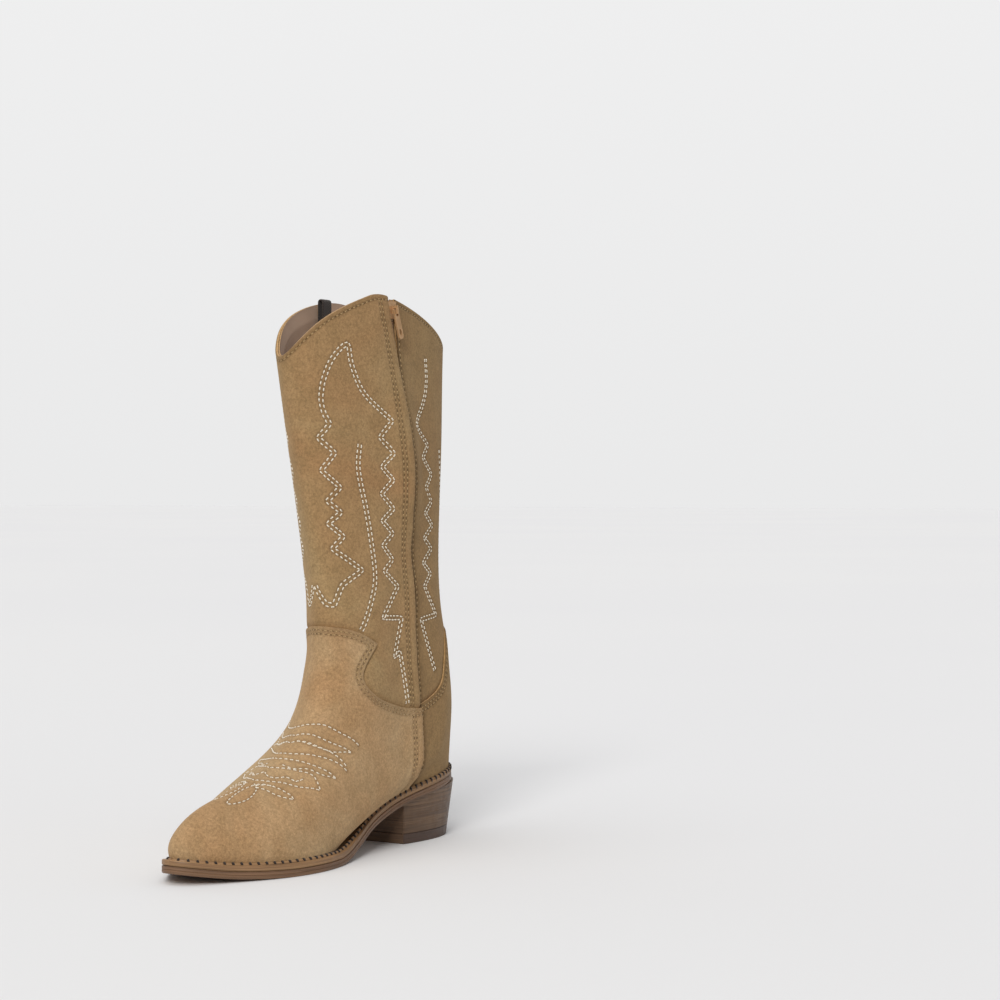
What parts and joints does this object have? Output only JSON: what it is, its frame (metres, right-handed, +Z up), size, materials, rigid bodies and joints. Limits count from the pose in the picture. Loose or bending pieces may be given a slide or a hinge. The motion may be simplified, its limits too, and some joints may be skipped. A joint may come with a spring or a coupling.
{
  "type": "cowboy boot",
  "caption": "Mid-calf western boot in suede with a pointed toe, scalloped top line, inner side zip, welted sole and stacked block heel; right foot.",
  "frame": {"origin": "middle of the heel's walking face, on the floor", "axes": "+Z up the shaft, -Y towards the toe, +X towards the inner (zip) side of this right-foot boot"},
  "size_m": [0.0983, 0.28, 0.3502],
  "materials": {
    "suede_vamp": "matt nap, lighter on the foot",
    "suede": "matt nap",
    "lining": "smooth, matt",
    "stiffener": "resin-stiffened cloth",
    "webbing": "woven, dark",
    "zip_tape": "woven tape",
    "zip_metal": "tan paint, satin",
    "welt_leather": "waxed edge",
    "sole_leather": "dense, satin",
    "heel_leather": "stacked, waxed",
    "top_lift_rubber": "matt",
    "cork": "granular, matt",
    "shank_steel": "mill finish",
    "nail_steel": "drawn wire",
    "fibre_board": "pressed fibre"
  },
  "bodies": {
    "boot": {"vamp": "suede_vamp", "counter": "suede", "shaft_front": "suede", "shaft_back": "suede", "vamp_lining": "lining", "heel_lining": "lining", "shaft_lining_front": "lining", "shaft_lining_back": "lining", "toe_puff": "stiffener", "heel_stiffener": "stiffener", "pull_strap": "webbing", "zip_tape_front": "zip_tape", "zip_tape_back": "zip_tape", "zip_teeth_front": "zip_metal", "zip_teeth_back": "zip_metal", "zip_top_stop_front": "zip_metal", "zip_top_stop_back": "zip_metal", "zip_bottom_stop": "zip_metal", "zip_guard": "lining", "welt": "welt_leather", "heel_rand": "welt_leather", "outsole": "sole_leather", "filler": "cork", "shank": "shank_steel", "insole_board": "fibre_board", "sock_liner": "lining", "heel_top_lift": "top_lift_rubber", "heel_lift_1": "heel_leather", "heel_lift_2": "heel_leather", "heel_lift_3": "heel_leather", "heel_lift_4": "heel_leather", "heel_lift_5": "heel_leather", "heel_nail_1": "nail_steel", "heel_nail_2": "nail_steel", "heel_nail_3": "nail_steel", "heel_nail_4": "nail_steel"},
    "slider": {"zip_slider": "zip_metal"},
    "pull_tab": {"zip_pull_tab": "zip_metal"}
  },
  "joints": [
    {"name": "zip_travel", "type": "slide", "parent": "boot", "child": "slider", "axis": [0.0328, 0.046, -0.9984], "range_m": [0, 0.286]},
    {"name": "pull_tab_swing", "type": "hinge", "parent": "slider", "child": "pull_tab", "pos_m": [0.02983, -0.04176, 0.34109], "axis": [0.0288, -0.958, -0.2855], "range_deg": [0, 165]}
  ]
}
